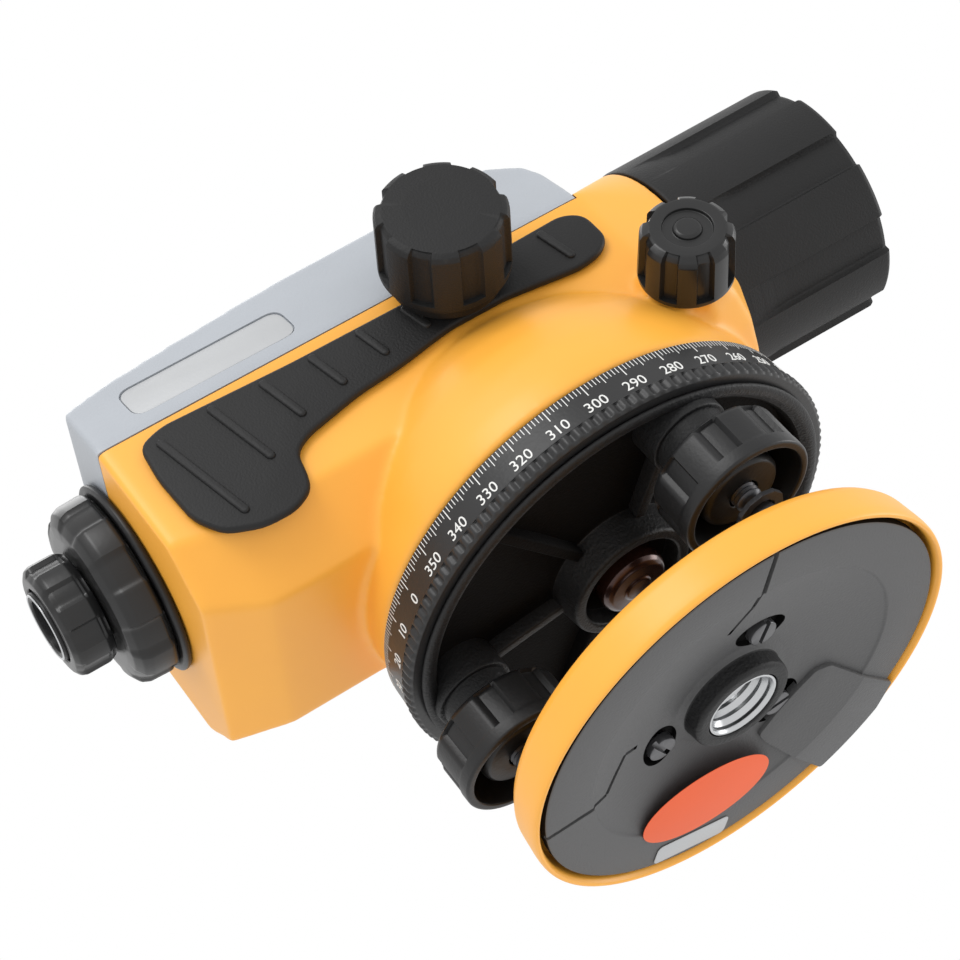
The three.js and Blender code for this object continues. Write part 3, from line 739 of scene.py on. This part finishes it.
def build_cover():
    outer = cover_form(0, 0.7, 13)
    outer.data.materials.append(GREY)
    cut(outer, box("seam", -120, 120, -70, 70, 80, COVER_SEAM_Z, edge=0))
    inner = cover_form(2.4, 1.4, 1)
    cut(inner, ramp(2.2))
    cut(outer, inner)
    cut(outer, ramp(0))
    tools = [
        box("groove", -40, 60, -1.6, 1.6, 138, 144, edge=0),
        bore(5.1, -30, -15, "x", (0, 0, 131.1), 48),
        bore(20.3, 30, 60, "x", SIGHT, 72),
        bore(9.2, -90, -78, "x", SIGHT, 48),
    ]
    lean = (Matrix.Translation(Vector(LABEL_PLACE) * MM)
            @ Matrix.Rotation(math.radians(LABEL_LEAN_DEG), 4, "X"))
    pocket = prism("pocket", soft_rectangle(-72.6, -32.8, 5.2, 3.4), -2, 0.55, None, axis="y", edge=0)
    pocket.data.transform(lean)
    tools.append(pocket)
    for tool in tools:
        cut(outer, tool)
    outer.name = "cover_shell"
    outer.data.materials.clear()
    outer.data.materials.append(GREY)
    shade(outer, 45)
    set_piece(outer, "housing", "grey_cover", "top_cover")
    face = prism("name_plate_blank", soft_rectangle(-72.3, -33.1, 4.9, 3.2), 0.1, 0.52, SILVER,
                 axis="y", edge=0.12)
    face.data.transform(lean)
    set_piece(face, "housing", "silver_label", "label_plate")


GRIP = [(-77.6, 94), (-76.6, 103.4), (-70.5, 105.4), (-40, 104), (0, 103.6), (29, 104.4),
        (33.2, 101.5), (33.4, 93.5), (30, 90.6), (24, 89.6), (6, 92.2), (-8, 92.2), (-22, 89.8),
        (-33, 88.8), (-47, 85.8), (-51.2, 83.2), (-52.2, 78), (-53.6, 74), (-58.5, 71.4),
        (-66, 71.6), (-73.5, 75), (-77, 81.5)]
# Each rib: its middle's x, and the heights of its lower and upper end.
GRIP_RIBS = [(-70, 77, 101), (-58, 85.5, 102.5), (-46.5, 91, 102), (-35, 93, 101.8),
             (-23.5, 94.5, 101.8), (-12.4, 95.5, 101.5), (23, 93.5, 101.8)]


def build_grips():
    for s in (-1, 1):
        name = "grip_pad_right" if s < 0 else "grip_pad_left"
        low, high = sorted((s * 35.25, s * 37.4))
        shape = GRIP if s < 0 else [(x, max(z, 77)) for x, z in GRIP if z > 74.5]
        pad = prism(name, soft_outline(shape, 2.6, 5), low, high, RUBBER, axis="y", edge=0)
        pad = bevel(pad, 0.9, 4, 60)
        pieces = [pad]
        for x, z0, z1 in GRIP_RIBS:
            lean = 0.11 * (z1 - z0)
            low_end = z0 if s < 0 else max(z0, 81)
            capsule = arc(x - lean, z1, 1.05, 0, 180) + arc(x + lean, low_end, 1.05, 180, 360)
            a, b = sorted((s * 36.5, s * 38.05))
            pieces.append(prism("rib", capsule, a, b, RUBBER, axis="y", edge=0.55, segments=4))
        pad = join(name, pieces, RUBBER, 60)
        set_piece(pad, "housing", "rubber", "side_grip_right" if s < 0 else "side_grip_left")


# ---------------------------------------------------------------- telescope
def build_telescope():
    def recesses(a, share):
        t = (a / (2 * math.pi) * HOOD_RECESSES + HOOD_PHASE) % 1.0
        edge = min(t, HOOD_SHARE - t) / HOOD_EDGE
        return -HOOD_DEPTH * share * min(1.0, edge) if t < HOOD_SHARE else 0.0
    rows = [(25.5, 55, 0), (27.9, 55, 0), (28.2, 55.6, 0)]
    for k in range(12):
        rows.append((28.15 + 0.35 * k / 11, 57 + k * 3.6, min(1.0, max(0.0, (k - 0.5) / 3))))
    rows += [(28.5, 98.0, 1), (27.9, 99, 0.9), (26.2, 99, 0), (25.5, 93, 0)]
    hood = lathe("hood_sleeve", rows, RUBBER, "x", SIGHT, 512, radius=0.3, wave=recesses, smooth=40)
    set_piece(hood, "housing", "rubber", "objective_hood")
    barrel = lathe("barrel", [
        (22.6, 46), (25, 46), (25, 89.5), (24.6, 90), (23.4, 90), (22.6, 76.4)],
        CAST, "x", SIGHT, 128, radius=0.3)
    set_piece(barrel, "housing", "black_casting", "objective_barrel")
    ring = lathe("lens_retainer", [(20.4, 73.4), (22.3, 73.4), (22.3, 75.6), (21.4, 75.6)],
                 GLOSS, "x", SIGHT, 96, radius=0.2)
    set_piece(ring, "housing", "black_casting", "objective_lens_ring")
    lens_shape("front_element", 22.2, 68.8, 2.2, 2.0, 0.6, "objective_lens_front", "housing", COATED)
    lens_shape("rear_element", 22.2, 63.8, 2.6, 0.8, 0.8, "objective_lens_rear", "housing", GLASS)
    lens_shape("focus_element", 14.6, 4, 2.6, -0.8, -0.8, "focusing_lens", "carriage", GLASS)
    tube = lathe("tube", [(17.6, -22), (19.6, -22), (19.6, 45.4), (17.6, 45.4)], CAST, "x", SIGHT, 96)
    cut(tube, bore(3, -30, -12, "y", FOCUS_AXIS, 32))
    set_piece(tube, "housing", "black_casting", "telescope_tube")


def lens_shape(name, radius, start, width, front, back, node, body, mat, steps=8):
    """A lens; front and back are how far each face bulges."""
    rows = [(0, start - back)]
    for k in range(1, steps + 1):
        t = k / steps
        rows.append((radius * t, start - back * (1 - t * t)))
    for k in range(steps, 0, -1):
        t = k / steps
        rows.append((radius * t, start + width + front * (1 - t * t)))
    rows.append((0, start + width + front))
    obj = lathe(name, rows, mat, "x", SIGHT, 96, radius=0)
    set_piece(obj, body, "optical_glass", node)


# ---------------------------------------------------------------- knobs and eyepiece
def build_knobs():
    wave = tooth(8, 1.15, share=0.54, soft=0.035, phase=0.6)
    knob = lathe("focus_grip", [
        (0, -59.1, 0), (8, -59.05, 0), (12.2, -58.8, 0), (12.5, -58.75, 1), (13.6, -58.2, 1), (14.2, -57.2, 1),
        (14.3, -44.2, 1), (14.3, -43.6, 0), (14.3, -42.4, 0), (13.6, -41.5, 0), (2.4, -41.5, 0),
        (2.4, -52, 0), (0, -52, 0)],
        RUBBER, "y", FOCUS_AXIS, 240, radius=0.25, wave=wave, smooth=40)
    set_piece(knob, "focus_knob_body", "rubber", "focus_knob")
    neck = lathe("focus_neck", [(3, -41.1), (11.6, -41.1), (12.4, -40.3), (12.4, -38.1), (3, -38.1)],
                 RUBBER, "y", FOCUS_AXIS, 96, radius=0.3)
    set_piece(neck, "housing", "black_plastic", "focus_collar")
    wave2 = tooth(8, 1.2, share=0.52, soft=0.035, phase=0.45)
    for s, node in ((-1, "tangent_knob_right"), (1, "tangent_knob_left")):
        grip = lathe("tangent_grip_right" if s < 0 else "tangent_grip_left", [
            (0, s * 54.5, 0), (2.4, s * 54.5, 0), (3.0, s * 54.1, 0), (3.1, s * 53.5, 0),
            (5.3, s * 53.5, 0), (5.4, s * 54.3, 0), (7.8, s * 54.3, 0), (8.2, s * 54.2, 1),
            (9.4, s * 53.4, 1), (10.0, s * 52.2, 1), (10.3, s * 41.8, 1), (10.3, s * 41.4, 0),
            (10.3, s * 40.6, 0), (9.8, s * 40, 0), (2.8, s * 40, 0), (2.8, s * 50.5, 0),
            (0, s * 50.5, 0)], GLOSS, "y", TANGENT_AXIS, 128, radius=0.2, wave=wave2, smooth=40)
        set_piece(grip, "tangent", "gloss_black", node)


def build_eyepiece():
    flange = lathe("eyepiece_plate", [
        (9.2, -84.3), (22.0, -84.3), (22.4, -84.8), (22.4, -85.6), (21.6, -86.1), (9.2, -86.1)],
        PLASTIC, "x", SIGHT, 96, radius=0.25)
    set_piece(flange, "housing", "black_plastic", "eyepiece_flange")
    wave = tooth(8, 1.05, share=0.5, soft=0.035, phase=0.15)
    ring = lathe("eyepiece_collar", [
        (9.2, -86.4, 0), (20.2, -86.4, 0), (21.0, -86.9, 0.6), (21.2, -87.6, 1), (21.0, -92.6, 1),
        (20.2, -94.4, 1), (18.2, -95.7, 0.7), (15.4, -96, 0), (9.2, -96, 0)],
        GLOSS, "x", SIGHT, 192, radius=0.4, wave=wave, smooth=40)
    set_piece(ring, "housing", "gloss_black", "eyepiece_ring")
    wave2 = tooth(8, 0.95, share=0.5, soft=0.04, phase=0.4)
    small = lathe("diopter_grip", [
        (8.7, -96.4, 0), (12.0, -96.4, 0), (12.6, -97.4, 0.4), (13.0, -98.4, 1), (13.0, -103.8, 1),
        (12.5, -105.0, 0.6), (11.2, -105.9, 0.1), (8.9, -106, 0), (8.7, -105.4, 0)],
        GLOSS, "x", SIGHT, 112, radius=0.3, wave=wave2, smooth=40)
    set_piece(small, "diopter", "gloss_black", "diopter_ring")
    sleeve = lathe("ocular_sleeve", [
        (6.2, -106.5), (6.6, -106.8), (7.8, -106.8), (8.1, -106.3), (8.1, -76), (6.2, -76)],
        PLASTIC, "x", SIGHT, 72, radius=0.15)
    set_piece(sleeve, "ocular", "steel", "ocular_barrel")
    bead = lathe("ocular_bead", [
        (7.25, -106.85), (7.55, -106.95), (7.85, -106.8), (7.8, -106.3), (7.3, -106.3)],
        STEEL, "x", SIGHT, 72, radius=0.1)
    set_piece(bead, "ocular", "steel")
    eye = lathe("eye_element", [
        (0, -104.6), (3, -104.4), (5.9, -103.6), (5.9, -100.4), (3, -100), (0, -99.8)],
        COATED, "x", SIGHT, 64, radius=0)
    set_piece(eye, "ocular", "optical_glass", "eye_lens")
    axis = lathe("axis_pin", [
        (0, 36), (3, 36), (3.4, 36.5), (6.6, 36.5), (7.4, 37), (8, 38), (8, 76), (29, 76),
        (31.5, 77), (31.5, 80.5), (0, 80.5)], BRONZE, segments=96, radius=0.3)
    set_piece(axis, "housing", "steel", "vertical_spindle")


# ---------------------------------------------------------------- pieces kept from the frame
def dress_frame():
    """Materials and softened edges for the inner pieces, which keep their CAD shape."""
    looks = {
        "spring_plate": DARK_STEEL, "worm_wheel": BRASS, "focus_pinion": BRASS, "focus_carriage": BRASS,
        "focus_rack": STEEL, "tangent_worm": STEEL, "reticle_cell": BRASS, "reticle": GLASS,
        "compensator_yoke": BRASS, "prism_front": GLASS, "prism_rear": GLASS, "pendulum_frame": STEEL,
        "pendulum_prism": GLASS, "level_cup": PLASTIC, "level_vial": GLASS, "level_window": GLASS,
        "foot_bush_1": BRASS, "foot_bush_2": BRASS, "foot_bush_3": BRASS,
    }
    for node, mat in looks.items():
        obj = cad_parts[node]
        obj.data.materials.clear()
        obj.data.materials.append(mat)
        mod = obj.modifiers.new("edges", "BEVEL")
        mod.width = 0.15 * MM
        mod.segments = 2
        mod.limit_method = "ANGLE"
        mod.angle_limit = math.radians(40)


# ---------------------------------------------------------------- camera, floor and light
def build_studio():
    right, down, ahead = Vector(CAMERA_RIGHT), Vector(CAMERA_DOWN), Vector(CAMERA_AHEAD)
    data = bpy.data.cameras.new("camera")
    data.sensor_width = 36
    data.lens = CAMERA_LENS
    data.clip_start = 0.01
    data.clip_end = 50
    cam = bpy.data.objects.new("camera", data)
    bpy.context.scene.collection.objects.link(cam)
    turn = Matrix((right, -down, -ahead)).transposed().to_4x4()
    cam.matrix_world = Matrix.Translation(CAMERA_PLACE) @ turn
    bpy.context.scene.camera = cam

    bm = bmesh.new()
    bmesh.ops.create_grid(bm, x_segments=8, y_segments=8, size=3)
    floor = from_bmesh(bm, "floor", None, 0)
    floor.location.z = -0.0002
    # Seen from below the floor is clear: the photograph's view comes from under the base.
    mat = bpy.data.materials.new("floor_pale")
    mat.use_nodes = True
    nt = mat.node_tree
    bsdf = nt.nodes["Principled BSDF"]
    bsdf.inputs["Base Color"].default_value = (0.86, 0.86, 0.86, 1)
    bsdf.inputs["Roughness"].default_value = 0.7
    geometry = nt.nodes.new("ShaderNodeNewGeometry")
    clear = nt.nodes.new("ShaderNodeBsdfTransparent")
    mix = nt.nodes.new("ShaderNodeMixShader")
    nt.links.new(geometry.outputs["Backfacing"], mix.inputs["Fac"])
    nt.links.new(bsdf.outputs["BSDF"], mix.inputs[1])
    nt.links.new(clear.outputs["BSDF"], mix.inputs[2])
    nt.links.new(mix.outputs["Shader"], nt.nodes["Material Output"].inputs["Surface"])
    floor.data.materials.append(mat)
    floor.visible_diffuse = False
    floor.visible_glossy = False
    floor.visible_shadow = False
    floor.visible_transmission = False

    # The background that the camera sees is white; the object is lit by a slightly weaker sky.
    world = bpy.data.worlds.new("studio")
    bpy.context.scene.world = world
    world.use_nodes = True
    sky = world.node_tree.nodes["Background"]
    sky.inputs["Color"].default_value = (1, 1, 1, 1)
    sky.inputs["Strength"].default_value = SKY_ON_OBJECT
    tree = world.node_tree
    backdrop = tree.nodes.new("ShaderNodeBackground")
    backdrop.inputs["Color"].default_value = (1, 1, 1, 1)
    path = tree.nodes.new("ShaderNodeLightPath")
    either = tree.nodes.new("ShaderNodeMixShader")
    tree.links.new(path.outputs["Is Camera Ray"], either.inputs["Fac"])
    tree.links.new(sky.outputs["Background"], either.inputs[1])
    tree.links.new(backdrop.outputs["Background"], either.inputs[2])
    tree.links.new(either.outputs["Shader"], tree.nodes["World Output"].inputs["Surface"])
    bpy.context.scene.view_settings.view_transform = "Standard"
    center = Vector((0, 0, 0.07))

    def lamp(name, offset, size, power):
        light = bpy.data.lights.new(name, "AREA")
        light.size = size
        light.energy = power
        obj = bpy.data.objects.new(name, light)
        obj.location = center + offset
        obj.rotation_euler = (-offset).to_track_quat("-Z", "Y").to_euler()
        bpy.context.scene.collection.objects.link(obj)

    lamp("key", -ahead * 0.5 - right * 0.55 - down * 0.75, 0.5, 4.0)
    lamp("rim", ahead * 0.2 + right * 0.9 - down * 0.3, 0.4, 2.2)
    lamp("top", Vector((0.1, 0.3, 1.0)), 0.6, 2.0)


build_studio()
build_base()
build_tribrach()
build_circle()
build_housing()
build_cover()
build_grips()
build_telescope()
build_knobs()
build_eyepiece()
dress_frame()
